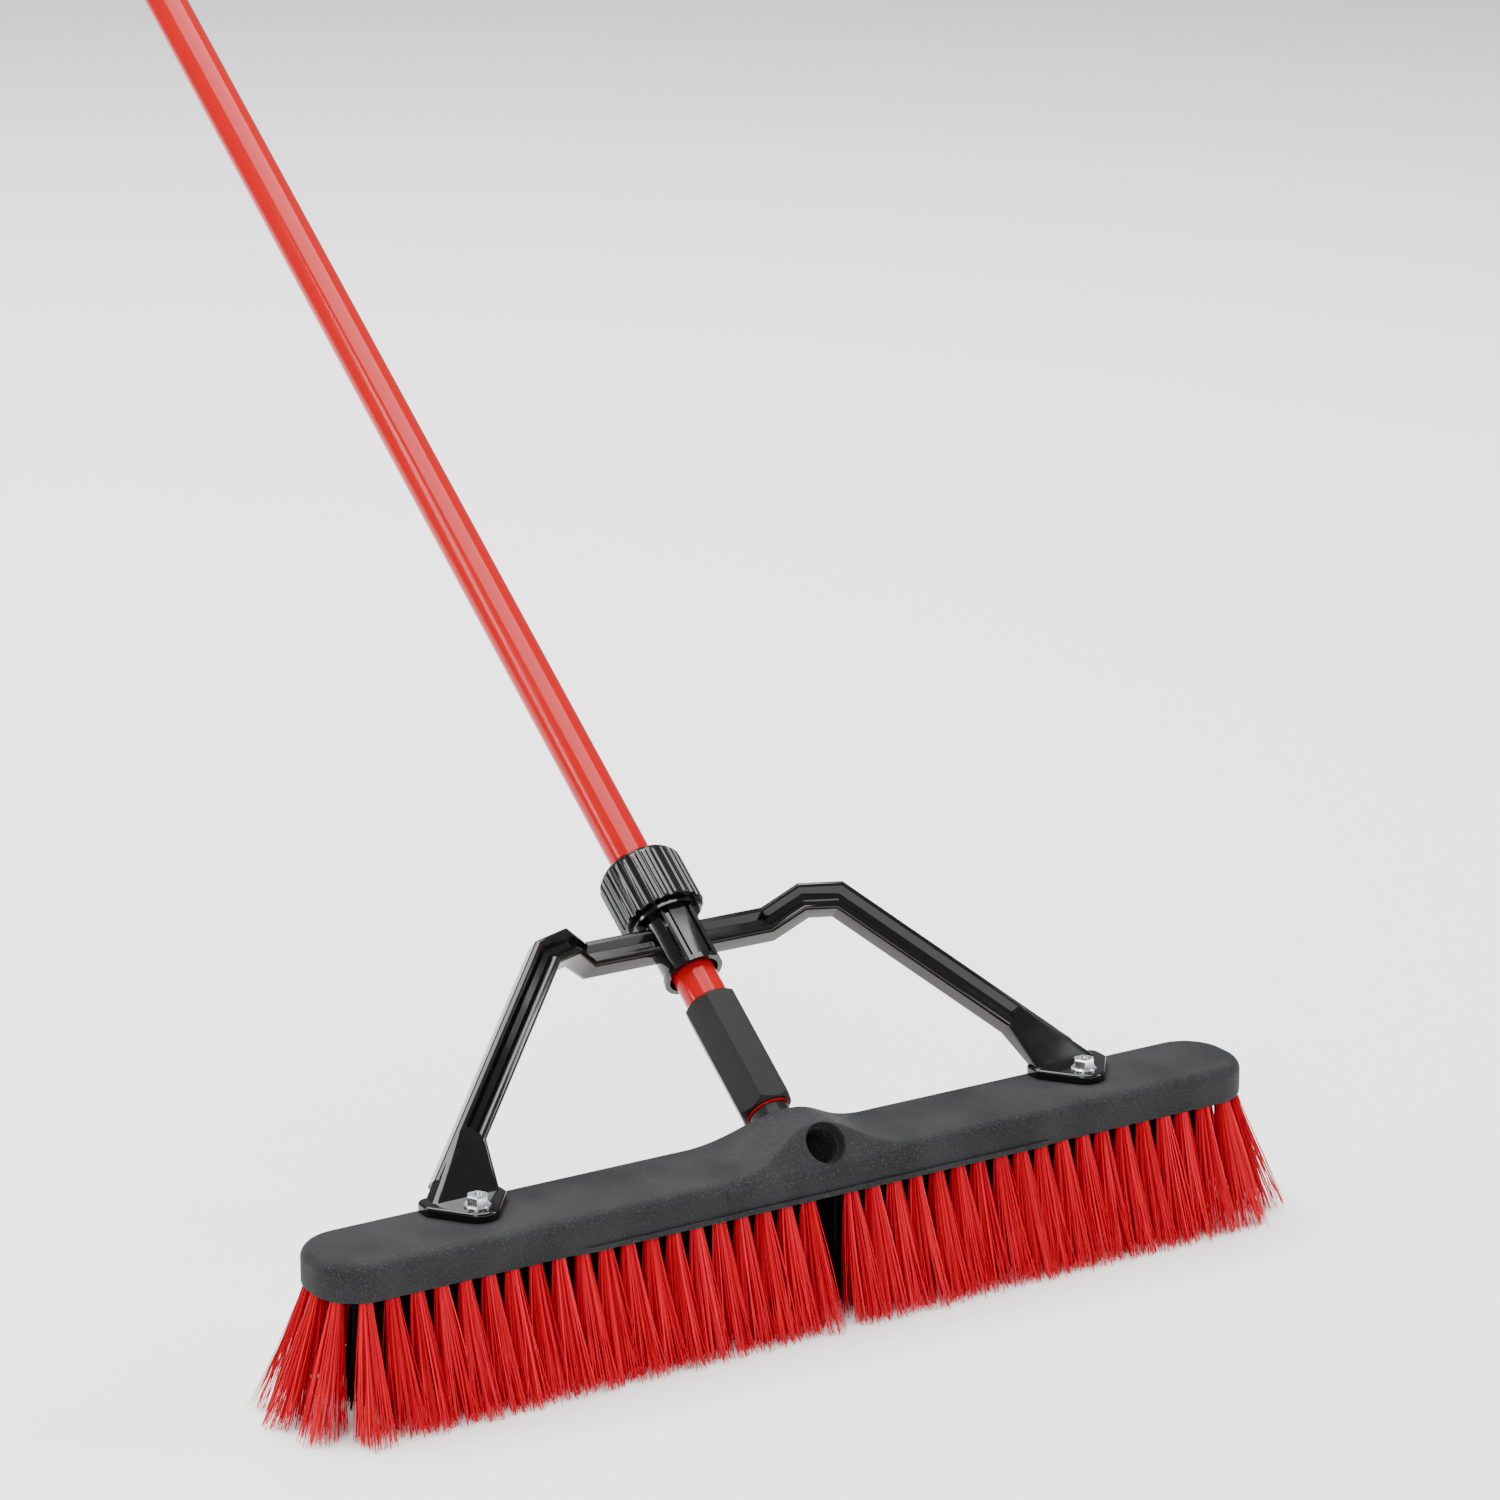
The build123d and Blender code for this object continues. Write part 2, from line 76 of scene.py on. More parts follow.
# filaments
ROOT_DEPTH = 6 * MM  # how far a filament is drawn up into its hole
ROOT_BAND = 4 * MM  # points of a CAD tuft this far above the underside are its root
TIP_BAND = 1 * MM  # points of a CAD tuft this near the floor are its tip
ROOT_FILL = 0.86  # share of the hole that the roots fill
LONG_TUFT = 1.3  # a tip this much longer than wide already has its full length
REACH_LOW, REACH_HIGH = 0.92, 1.08
STRAY_REACH = 1.2
STRAY_CUT = 6 * MM
TRIM_POWER = 2.2  # most tips end near the floor and few end high
FLOOR_GAP = 0.4 * MM
BOW = 0.8 * MM
CURL_MEAN, CURL_SPREAD = 0.4, 1.0
FAN_POWER = 1.12  # the fan opens a little late
CURL_POWER = 3
TWIST_SPREAD = 0.45
SIZE_LOW, SIZE_HIGH = 0.75, 1.2
TAPER = 0.45
BACK_EDGE, FRONT_EDGE = 0.42, 0.4  # a filament's three-sided section, in widths
RED_SEGMENTS, BLACK_SEGMENTS = 5, 4
ROW_SPLAY, END_SPLAY, INNER_SPLAY = 1.8, 1.85, 1.3
SEED_STRIDE, BLACK_SEED_START = 1000, 10

# stage
FLOOR_HALF = 12.0
FLOOR_TONE = (0.95, 0.95, 0.95, 1)
WORLD_STRENGTH = 0.38
SENSOR_WIDTH = 36.0
CLIP_END = 50.0
OVERHEAD_AIM = Vector((0, 1.0, 0))


# ---------------------------------------------------------------- settings
class BroomBristleSettings(bpy.types.PropertyGroup):
    """Sizes of the bristles"""

    red_per_tuft: bpy.props.IntProperty(
        name="Red filaments", description="Filaments in each outer tuft", default=112, min=8, max=200
    )
    black_per_tuft: bpy.props.IntProperty(
        name="Black filaments", description="Filaments in each inner tuft", default=60, min=8, max=200
    )
    red_width: bpy.props.FloatProperty(
        name="Red filament width", description="Width at the root", default=0.85 * MM, unit="LENGTH"
    )
    black_width: bpy.props.FloatProperty(
        name="Black filament width", description="Width at the root", default=1.0 * MM, unit="LENGTH"
    )
    trim_spread: bpy.props.FloatProperty(
        name="Trim unevenness",
        description="How far tips end above the floor",
        default=3.0 * MM,
        unit="LENGTH",
    )
    stray_share: bpy.props.FloatProperty(
        name="Stray share", description="Share of filaments that stand away", default=0.03, subtype="FACTOR"
    )
    seed: bpy.props.IntProperty(name="Seed", description="Start of the random draws", default=7)


class BroomFinishSettings(bpy.types.PropertyGroup):
    """Colours of the broom's finishes"""

    bristle_red: bpy.props.FloatVectorProperty(
        name="Bristle red",
        description="Outer bristles",
        subtype="COLOR",
        size=3,
        default=(0.56, 0.0012, 0.014),
    )
    paint_red: bpy.props.FloatVectorProperty(
        name="Handle red",
        description="Painted tube",
        subtype="COLOR",
        size=3,
        default=(0.40, 0.0010, 0.003),
    )
    block_grey: bpy.props.FloatVectorProperty(
        name="Block charcoal",
        description="Block resin",
        subtype="COLOR",
        size=3,
        default=(0.012, 0.012, 0.013),
    )
    gloss_black: bpy.props.FloatVectorProperty(
        name="Brace black",
        description="Brace and knob",
        subtype="COLOR",
        size=3,
        default=(0.0025, 0.0025, 0.0028),
    )
    grip_black: bpy.props.FloatVectorProperty(
        name="Grip black",
        description="Hex grip and cap",
        subtype="COLOR",
        size=3,
        default=(0.006, 0.006, 0.0063),
    )


class BroomStageSettings(bpy.types.PropertyGroup):
    """Camera"""

    azimuth: bpy.props.FloatProperty(
        name="Azimuth",
        description="Camera's turn about Z",
        subtype="ANGLE",
        default=math.radians(-32.013),
    )
    elevation: bpy.props.FloatProperty(
        name="Elevation",
        description="Camera's height angle",
        subtype="ANGLE",
        default=math.radians(16.44),
    )
    distance: bpy.props.FloatProperty(
        name="Distance", description="Camera to its aim", default=2.6, unit="LENGTH"
    )
    aim: bpy.props.FloatVectorProperty(
        name="Aim",
        description="Point in the middle of the view",
        size=3,
        default=(-0.0308, -0.0026, 0.3306),
    )
    lens: bpy.props.FloatProperty(
        name="Lens", description="Focal length in mm, 36 mm sensor", default=114.75
    )


# ---------------------------------------------------------------- shared node groups
def new_group(name, inputs, outputs):
    """A shader node group with these named sockets, and its input and output nodes."""
    group = bpy.data.node_groups.new(name, "ShaderNodeTree")
    for label, kind, value in inputs:
        socket = group.interface.new_socket(label, in_out="INPUT", socket_type=kind)
        socket.default_value = value
    for label, kind in outputs:
        group.interface.new_socket(label, in_out="OUTPUT", socket_type=kind)
    return group, group.nodes.new("NodeGroupInput"), group.nodes.new("NodeGroupOutput")


def group_noise(group, position, scale_socket, detail, roughness=0.5):
    """A noise node at this position, its scale fed by a group input."""
    noise = group.nodes.new("ShaderNodeTexNoise")
    noise.inputs["Detail"].default_value = detail
    noise.inputs["Roughness"].default_value = roughness
    group.links.new(position, noise.inputs["Vector"])
    group.links.new(scale_socket, noise.inputs["Scale"])
    return noise


def group_map(group, value, low, high, to_low, to_high):
    """Value from low..high onto to_low..to_high, held at both ends."""
    mapped = group.nodes.new("ShaderNodeMapRange")
    for label, number in (("From Min", low), ("From Max", high), ("To Min", to_low), ("To Max", to_high)):
        mapped.inputs[label].default_value = number
    group.links.new(value, mapped.inputs["Value"])
    return mapped.outputs["Result"]


def group_mix(group, factor, colour_a, colour_b):
    """A colour mix; each side is a socket or a colour."""
    mix = group.nodes.new("ShaderNodeMix")
    mix.data_type = "RGBA"
    for socket, value in ((mix.inputs[0], factor), (mix.inputs[6], colour_a), (mix.inputs[7], colour_b)):
        if isinstance(value, bpy.types.NodeSocket):
            group.links.new(value, socket)
        else:
            socket.default_value = value
    return mix.outputs[2]


def object_position(group):
    """Object coordinates, in metres in the broom's own frame."""
    return group.nodes.new("ShaderNodeTexCoord").outputs["Object"]


def make_grain_group():
    """Moulded grain: fine light specks and soft clouds on a base colour, and the grain's height."""
    group, start, end = new_group(
        "Moulded Grain",
        [
            ("Base", "NodeSocketColor", (0.04, 0.04, 0.04, 1)),
            ("Speck", "NodeSocketColor", (0.2, 0.2, 0.2, 1)),
            ("Scale", "NodeSocketFloat", 900.0),
            ("Cloud Scale", "NodeSocketFloat", 25.0),
        ],
        [("Color", "NodeSocketColor"), ("Roughness", "NodeSocketFloat"), ("Height", "NodeSocketFloat")],
    )
    position = object_position(group)
    fine = group_noise(group, position, start.outputs["Scale"], 3.0, 0.65)
    cloud = group_noise(group, position, start.outputs["Cloud Scale"], 2.0)
    specks = group_map(group, fine.outputs["Fac"], 0.54, 0.70, 0.0, 1.0)
    shade = group_map(group, cloud.outputs["Fac"], 0.35, 0.65, 0.0, 0.35)
    clouded = group_mix(group, shade, start.outputs["Base"], start.outputs["Speck"])
    soft = group_mix(group, 0.72, start.outputs["Base"], clouded)
    colour = group_mix(group, specks, soft, start.outputs["Speck"])
    group.links.new(colour, end.inputs["Color"])
    group.links.new(group_map(group, fine.outputs["Fac"], 0.3, 0.7, 0.55, 0.72), end.inputs["Roughness"])
    group.links.new(fine.outputs["Fac"], end.inputs["Height"])
    return group


def group_product(group, first, second):
    """The product of two values."""
    product = group.nodes.new("ShaderNodeMath")
    product.operation = "MULTIPLY"
    group.links.new(first, product.inputs[0])
    group.links.new(second, product.inputs[1])
    return product.outputs[0]


def make_edge_group():
    """Rubbed edges: a mask that is 1 on convex edges, broken up by noise."""
    group, start, end = new_group(
        "Rubbed Edges",
        [("Amount", "NodeSocketFloat", 0.5), ("Scale", "NodeSocketFloat", 120.0)],
        [("Mask", "NodeSocketFloat")],
    )
    geometry = group.nodes.new("ShaderNodeNewGeometry")
    edge = group_map(group, geometry.outputs["Pointiness"], 0.52, 0.60, 0.0, 1.0)
    noise = group_noise(group, object_position(group), start.outputs["Scale"], 4.0)
    broken = group_map(group, noise.outputs["Fac"], 0.42, 0.62, 0.0, 1.0)
    rubbed = group_product(group, edge, broken)
    group.links.new(group_product(group, rubbed, start.outputs["Amount"]), end.inputs["Mask"])
    return group


def make_smear_group():
    """Handling marks: roughness that varies in soft patches, with a faint ripple height."""
    group, start, end = new_group(
        "Handling Marks",
        [
            ("Scale", "NodeSocketFloat", 30.0),
            ("Low", "NodeSocketFloat", 0.1),
            ("High", "NodeSocketFloat", 0.25),
        ],
        [("Roughness", "NodeSocketFloat"), ("Height", "NodeSocketFloat")],
    )
    position = object_position(group)
    patch = group_noise(group, position, start.outputs["Scale"], 5.0)
    share = group_map(group, patch.outputs["Fac"], 0.35, 0.7, 0.0, 1.0)
    span = group.nodes.new("ShaderNodeMapRange")
    group.links.new(share, span.inputs["Value"])
    group.links.new(start.outputs["Low"], span.inputs["To Min"])
    group.links.new(start.outputs["High"], span.inputs["To Max"])
    group.links.new(span.outputs["Result"], end.inputs["Roughness"])
    group.links.new(patch.outputs["Fac"], end.inputs["Height"])
    return group


def make_strand_group():
    """Strands: colour and roughness that change from filament to filament; the darker filaments are painted
    shade for the shadows between filaments, the paler ones painted highlights.
    """
    group, start, end = new_group(
        "Bristle Strands",
        [
            ("Colour", "NodeSocketColor", (0.8, 0.02, 0.03, 1)),
            # darkest input: painted shade between filaments; palest input: painted highlight
            ("Deep", "NodeSocketColor", (0.3, 0.0, 0.0, 1)),
            ("Pale", "NodeSocketColor", (0.9, 0.2, 0.2, 1)),
        ],
        [("Color", "NodeSocketColor"), ("Roughness", "NodeSocketFloat")],
    )
    tone = group.nodes.new("ShaderNodeAttribute")
    tone.attribute_name = "strand"
    # darker filaments are painted shade for the shadows between filaments; paler filaments are painted
    # highlights
    painted_shade = group_map(group, tone.outputs["Fac"], 0.0, 0.35, 0.75, 0.0)
    pale = group_map(group, tone.outputs["Fac"], 0.80, 1.0, 0.0, 0.55)
    darker = group_mix(group, painted_shade, start.outputs["Colour"], start.outputs["Deep"])
    colour = group_mix(group, pale, darker, start.outputs["Pale"])
    group.links.new(colour, end.inputs["Color"])
    group.links.new(group_map(group, tone.outputs["Fac"], 0.0, 1.0, 0.34, 0.52), end.inputs["Roughness"])
    return group


def add_group(material, group, **values):
    """This group as a node of the material, with its inputs set by name."""
    node = material.node_tree.nodes.new("ShaderNodeGroup")
    node.node_tree = group
    for label, value in values.items():
        node.inputs[label.replace("_", " ")].default_value = value
    return node


def new_material(name, roughness=0.5, metallic=0.0, specular=0.5):
    """A material with its Principled shader; constants go on the shader's own sockets."""
    material = bpy.data.materials.new(name)
    material.use_nodes = True
    shader = material.node_tree.nodes["Principled BSDF"]
    shader.inputs["Roughness"].default_value = roughness
    shader.inputs["Metallic"].default_value = metallic
    shader.inputs["Specular IOR Level"].default_value = specular
    return material, shader


def add_bump(material, shader, height, strength, distance):
    """Feeds this height to the shader's normal."""
    bump = material.node_tree.nodes.new("ShaderNodeBump")
    bump.inputs["Strength"].default_value = strength
    bump.inputs["Distance"].default_value = distance
    material.node_tree.links.new(height, bump.inputs["Height"])
    material.node_tree.links.new(bump.outputs["Normal"], shader.inputs["Normal"])


def worn_colour(material, shader, base, worn, mask):
    """Base colour that turns to the worn colour where the mask is 1."""
    mix = material.node_tree.nodes.new("ShaderNodeMix")
    mix.data_type = "RGBA"
    mix.inputs[6].default_value = (*base, 1)
    mix.inputs[7].default_value = (*worn, 1)
    material.node_tree.links.new(mask, mix.inputs[0])
    material.node_tree.links.new(mix.outputs[2], shader.inputs["Base Color"])


def block_material(groups, colours):
    """Charcoal resin with fine pale specks."""
    material, shader = new_material("Block Resin", specular=0.12)
    grain = add_group(
        material,
        groups["grain"],
        Base=(*colours.block_grey, 1),
        Speck=(0.058, 0.058, 0.060, 1),
        Scale=1150.0,
        Cloud_Scale=22.0,
    )
    links = material.node_tree.links
    links.new(grain.outputs["Color"], shader.inputs["Base Color"])
    links.new(grain.outputs["Roughness"], shader.inputs["Roughness"])
    add_bump(material, shader, grain.outputs["Height"], 0.8, 0.0007)
    return material


def gloss_material(groups, colours):
    """Gloss black moulding of the brace and knob."""
    material, shader = new_material("Gloss Moulding", specular=0.42)
    marks = add_group(material, groups["smear"], Scale=60.0, Low=0.09, High=0.15)
    edges = add_group(material, groups["edges"], Amount=0.12, Scale=160.0)
    worn_colour(material, shader, colours.gloss_black, (0.055, 0.055, 0.058), edges.outputs["Mask"])
    material.node_tree.links.new(marks.outputs["Roughness"], shader.inputs["Roughness"])
    add_bump(material, shader, marks.outputs["Height"], 0.04, 0.0004)
    return material


def satin_material(groups, colours):
    """Satin black of the grip, tip, ring and cap."""
    material, shader = new_material("Satin Grip", specular=0.22)
    grain = add_group(
        material,
        groups["grain"],
        Base=(*colours.grip_black, 1),
        Speck=(0.012, 0.012, 0.0125, 1),
        Scale=1500.0,
        Cloud_Scale=40.0,
    )
    marks = add_group(material, groups["smear"], Scale=45.0, Low=0.30, High=0.46)
    material.node_tree.links.new(grain.outputs["Color"], shader.inputs["Base Color"])
    material.node_tree.links.new(marks.outputs["Roughness"], shader.inputs["Roughness"])
    add_bump(material, shader, grain.outputs["Height"], 0.12, 0.0003)
    return material


def paint_material(groups, colours):
    """Red enamel on the steel tube."""
    material, shader = new_material("Red Enamel", specular=0.16)
    marks = add_group(material, groups["smear"], Scale=16.0, Low=0.10, High=0.16)
    edges = add_group(material, groups["edges"], Amount=0.5, Scale=200.0)
    worn_colour(material, shader, colours.paint_red, (0.30, 0.02, 0.02), edges.outputs["Mask"])
    material.node_tree.links.new(marks.outputs["Roughness"], shader.inputs["Roughness"])
    add_bump(material, shader, marks.outputs["Height"], 0.02, 0.0006)
    return material


def zinc_material(groups):
    """Bright zinc of the bolts and staples."""
    material, shader = new_material("Bright Zinc", metallic=1.0)
    marks = add_group(material, groups["smear"], Scale=400.0, Low=0.16, High=0.36)
    edges = add_group(material, groups["edges"], Amount=0.6, Scale=300.0)
    worn_colour(material, shader, (0.66, 0.68, 0.70), (0.92, 0.93, 0.94), edges.outputs["Mask"])
    material.node_tree.links.new(marks.outputs["Roughness"], shader.inputs["Roughness"])
    add_bump(material, shader, marks.outputs["Height"], 0.15, 0.0003)
    return material


def strand_material(groups, name, colour, painted_shade, pale):
    """Bristle filament in this colour, with its deepest shade, a painted shade for the shadows between
    filaments, and its palest, a painted highlight.
    """
    material, shader = new_material(name, specular=0.05)
    strands = add_group(material, groups["strands"], Colour=colour, Deep=painted_shade, Pale=pale)
    material.node_tree.links.new(strands.outputs["Color"], shader.inputs["Base Color"])
    material.node_tree.links.new(strands.outputs["Roughness"], shader.inputs["Roughness"])
    return material


def finishes():
    """The broom's materials by name, made the first time they are asked for."""
    made = bpy.data.materials
    if "Block Resin" not in made:
        colours = bpy.context.scene.broom_finish
        groups = {
            "grain": make_grain_group(),
            "edges": make_edge_group(),
            "smear": make_smear_group(),
            "strands": make_strand_group(),
        }
        block_material(groups, colours)
        gloss_material(groups, colours)
        satin_material(groups, colours)
        paint_material(groups, colours)
        zinc_material(groups)
        strand_material(
            groups,
            "Red Bristle",
            colour=(*colours.bristle_red, 1),
            # the darkest tone below is painted shade between filaments, the palest a painted highlight
            painted_shade=(0.34, 0.0010, 0.008, 1),
            pale=(0.80, 0.03, 0.055, 1),
        )
        strand_material(
            groups,
            "Black Bristle",
            colour=(0.004, 0.004, 0.0045, 1),
            # the darkest tone below is painted shade between filaments, the palest a painted highlight
            painted_shade=(0.001, 0.001, 0.001, 1),
            pale=(0.02, 0.02, 0.02, 1),
        )
    return made


# ---------------------------------------------------------------- pieces
def link_piece(mesh, name, material):
    """A new object with this mesh and material."""
    piece = bpy.data.objects.new(name, mesh)
    bpy.context.scene.collection.objects.link(piece)
    mesh.materials.clear()
    mesh.materials.append(bpy.data.materials[material])
    return piece


def stand_for(piece, node):
    """The piece rides where the node rides and is shown instead of it."""
    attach(piece, body_of_node[node])
    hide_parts(node)


def dressed(node, name, material, edge_width, sharp_angle=SHARP_ANGLE, segments=EDGE_SEGMENTS):
    """A clean copy of a CAD node: welded, smooth between its real edges, and those edges eased."""
    shape = bmesh.new()
    shape.from_mesh(nodes[node].data)
    bmesh.ops.remove_doubles(shape, verts=shape.verts, dist=WELD)
    bmesh.ops.dissolve_degenerate(shape, dist=DEGENERATE, edges=shape.edges)
    bmesh.ops.recalc_face_normals(shape, faces=shape.faces)
    for face in shape.faces:
        face.smooth = True
    for edge in shape.edges:
        edge.smooth = edge.is_manifold and edge.calc_face_angle(0.0) < math.radians(sharp_angle)
    mesh = bpy.data.meshes.new(name)
    shape.to_mesh(mesh)
    shape.free()
    piece = link_piece(mesh, name, material)
    if edge_width:
        bevel = piece.modifiers.new("Eased edges", "BEVEL")
        bevel.width = edge_width
        bevel.segments = segments
        bevel.limit_method = "ANGLE"
        bevel.angle_limit = math.radians(sharp_angle)
        bevel.use_clamp_overlap = True
        bevel.harden_normals = True
    stand_for(piece, node)


def low_corner(points):
    """Lowest x and y of these points, to a tenth of a millimetre, for sorting from left to right."""
    return round(min(p.x for p in points), 4), round(min(p.y for p in points), 4)


def islands(node):
    """The separate solids of a CAD node, each a list of its points."""
    shape = bmesh.new()
    shape.from_mesh(nodes[node].data)
    bmesh.ops.remove_doubles(shape, verts=shape.verts, dist=WELD)
    left = set(shape.verts)
    groups = []
    while left:
        start = left.pop()
        group, open_ends = [start], [start]
        while open_ends:
            vert = open_ends.pop()
            for edge in vert.link_edges:
                other = edge.other_vert(vert)
                if other in left:
                    left.remove(other)
                    group.append(other)
                    open_ends.append(other)
        groups.append([vert.co.copy() for vert in group])
    shape.free()
    groups.sort(key=low_corner)
    return groups


def tuft_frame(points):
    """Root and tip of one CAD tuft: centres, root radius, and the tip's two half axes."""
    root = [p for p in points if p.z > ROOT_Z + ROOT_BAND]
    tip = [p for p in points if p.z < TIP_BAND]
    root_centre = sum(root, Vector()) / len(root)
    root_centre.z = ROOT_Z
    tip_centre = sum(tip, Vector()) / len(tip)
    tip_centre.z = 0
    long_axis = max((p - tip_centre for p in tip), key=lambda v: v.length)
    long_axis = Vector((long_axis.x, long_axis.y, 0))
    side = Vector((-long_axis.y, long_axis.x, 0)).normalized()
    reach = max(abs((p - tip_centre).dot(side)) for p in tip)
    radius = max((Vector((p.x, p.y, ROOT_Z)) - root_centre).length for p in root)
    return root_centre, tip_centre, radius, long_axis, side * reach


class StrandMesh:
    """Gathers filaments, each a closed three-sided tapering prism, into one mesh."""

    def __init__(self):
        self.points = []
        self.faces = []
        self.tones = []

    def add(self, path, widths, across, tone):
        """One filament along the path; across is the way its flat side faces."""
        start = len(self.points)
        rings = len(path)
        for i, (point, width) in enumerate(zip(path, widths)):
            ahead = (path[min(i + 1, rings - 1)] - path[max(i - 1, 0)]).normalized()
            side = ahead.cross(across).normalized() * width / 2
            out = side.cross(ahead).normalized() * width * BACK_EDGE
            self.points += [point + side + out * FRONT_EDGE, point - side + out * FRONT_EDGE, point - out]
        for i in range(rings - 1):
            for k in range(3):
                a = start + 3 * i + k
                b = start + 3 * i + (k + 1) % 3
                self.faces.append((a, b, b + 3, a + 3))
        last = start + 3 * (rings - 1)
        self.faces += [(start + 2, start + 1, start), (last, last + 1, last + 2)]
        self.tones += [tone] * (3 * rings)

    def finish(self, name, material):
        """The filaments as one piece, with each one's tone kept on its points."""
        mesh = bpy.data.meshes.new(name)
        mesh.from_pydata(self.points, [], self.faces)
        tone = mesh.attributes.new("strand", "FLOAT", "POINT")
        tone.data.foreach_set("value", self.tones)
        shape = bmesh.new()
        shape.from_mesh(mesh)
        bmesh.ops.recalc_face_normals(shape, faces=shape.faces)
        shape.to_mesh(mesh)
        shape.free()
        return link_piece(mesh, name, material)


def grow_tuft(strands, draw, tuft, count, width, segments, settings, splay):
    """Fills one tuft: filaments leave the round root together and fan out to the trimmed tips."""
    root, tip, radius, long_axis, side_axis = tuft
    long_way, side_way = long_axis.normalized(), side_axis.normalized()
    outward = Vector((tip.x - root.x, tip.y - root.y, 0))
    facing = outward.normalized() if outward.length > 1 * MM else long_way
    full_length = long_axis.length > side_axis.length * LONG_TUFT
    for _ in range(count):
        angle = draw.uniform(0, 2 * math.pi)
        share = math.sqrt(draw.random())
        across, along = share * math.cos(angle), share * math.sin(angle)
        begin = root + (side_way * across + long_way * along) * radius * ROOT_FILL
        begin += Vector((0, 0, ROOT_DEPTH))
        stray = draw.random() < settings.stray_share
        reach = splay * draw.uniform(REACH_LOW, REACH_HIGH) * (STRAY_REACH if stray else 1.0)
        lengthwise = along if full_length else along * reach
        end = tip + side_axis * across * reach + long_axis * lengthwise
        cut = settings.trim_spread * draw.random() ** TRIM_POWER
        if stray:
            cut += draw.uniform(0, STRAY_CUT)
        end.z = FLOOR_GAP + cut
        bow = Vector((draw.gauss(0, 1), draw.gauss(0, 1), 0)) * BOW
        curl = facing * draw.gauss(CURL_MEAN, CURL_SPREAD) * MM
        path = []
        for i in range(segments + 1):
            t = i / segments
            point = begin.lerp(end, t**FAN_POWER)
            point.z = begin.z + (end.z - begin.z) * t
            point += bow * math.sin(math.pi * t) + curl * t**CURL_POWER
            path.append(point)
        flat = facing + Vector((draw.gauss(0, TWIST_SPREAD), draw.gauss(0, TWIST_SPREAD), 0))
        size = width * draw.uniform(SIZE_LOW, SIZE_HIGH)
        widths = [size * (1.0 - TAPER * (i / segments) ** 2) for i in range(segments + 1)]
        strands.add(path, widths, flat, draw.random())


def grow_row(node, name, material, count, width, segments, splay, seed_step):
    """Replaces one CAD row of tufts with filaments."""
    settings = bpy.context.scene.broom_bristles
    draw = random.Random(settings.seed * SEED_STRIDE + seed_step)
    strands = StrandMesh()
    for points in islands(node):
        grow_tuft(strands, draw, tuft_frame(points), count, width, segments, settings, splay)
    stand_for(strands.finish(name, material), node)


RED_ROWS = {
    "red_tufts_front": "red_bristles_front",
    "red_tufts_back": "red_bristles_back",
    "red_tufts_left_end": "red_bristles_left_end",
    "red_tufts_right_end": "red_bristles_right_end",
}
BLACK_ROWS = {
    "black_tufts_front_row": "black_bristles_front_row",
    "black_tufts_middle_row": "black_bristles_middle_row",
    "black_tufts_back_row": "black_bristles_back_row",
}


# ---------------------------------------------------------------- operators
class BROOM_OT_red_bristles(bpy.types.Operator):
    """Grow the red outer bristles, row by row"""

    bl_idname = "broom.red_bristles"
    bl_label = "Red Bristles"

    def execute(self, context):
        finishes()
        settings = context.scene.broom_bristles
        for step, (node, name) in enumerate(RED_ROWS.items()):
            grow_row(
                node,
                name,
                "Red Bristle",
                settings.red_per_tuft,
                settings.red_width,
                RED_SEGMENTS,
                END_SPLAY if "end" in node else ROW_SPLAY,
                step,
            )
        return {"FINISHED"}


class BROOM_OT_black_bristles(bpy.types.Operator):
    """Grow the black inner bristles, row by row"""

    bl_idname = "broom.black_bristles"
    bl_label = "Black Bristles"

    def execute(self, context):
        finishes()
        settings = context.scene.broom_bristles
        for step, (node, name) in enumerate(BLACK_ROWS.items()):
            grow_row(
                node,
                name,
                "Black Bristle",
                settings.black_per_tuft,
                settings.black_width,
                BLACK_SEGMENTS,
                INNER_SPLAY,
                BLACK_SEED_START + step,
            )
        return {"FINISHED"}


class BROOM_OT_block(bpy.types.Operator):
    """Finish the resin block and the staples inside it"""

    bl_idname = "broom.block"
    bl_label = "Block"

    def execute(self, context):
        finishes()
        dressed("block", "broom_block", "Block Resin", 0.0, sharp_angle=BLOCK_SHARP_ANGLE)
        for node in ("red_tuft_staples", "black_tuft_staples"):
            name = node.replace("tuft_staples", "staple_wires")
            dressed(node, name, "Bright Zinc", 0.1 * MM, segments=1)
        return {"FINISHED"}


class BROOM_OT_brace(bpy.types.Operator):
    """Finish the brace, its bolts, the clamp knob and the grip ring"""

    bl_idname = "broom.brace"
    bl_label = "Brace and Clamp"

    def execute(self, context):
        finishes()
        dressed("brace", "handle_brace", "Gloss Moulding", 0.7 * MM)
        dressed("clamp_knob", "ribbed_knob", "Gloss Moulding", 0.35 * MM)
        dressed("grip_ring", "split_grip_ring", "Satin Grip", 0.25 * MM)
        for side in ("left", "right"):
            dressed(f"brace_bolt_{side}", f"flange_bolt_{side}", "Bright Zinc", 0.3 * MM)
        return {"FINISHED"}


class BROOM_OT_handle(bpy.types.Operator):
    """Finish the tube, the hex grip, the threaded tip and the end cap"""

    bl_idname = "broom.handle"
    bl_label = "Handle"

    def execute(self, context):
        finishes()
        dressed("handle_tube", "enamelled_tube", "Red Enamel", 0.15 * MM)
        dressed("hex_grip", "hexagonal_grip", "Satin Grip", 0.6 * MM)
        dressed("threaded_tip", "screw_tip", "Satin Grip", 0.3 * MM)
        dressed("end_cap", "hanging_cap", "Satin Grip", 0.4 * MM)
        return {"FINISHED"}


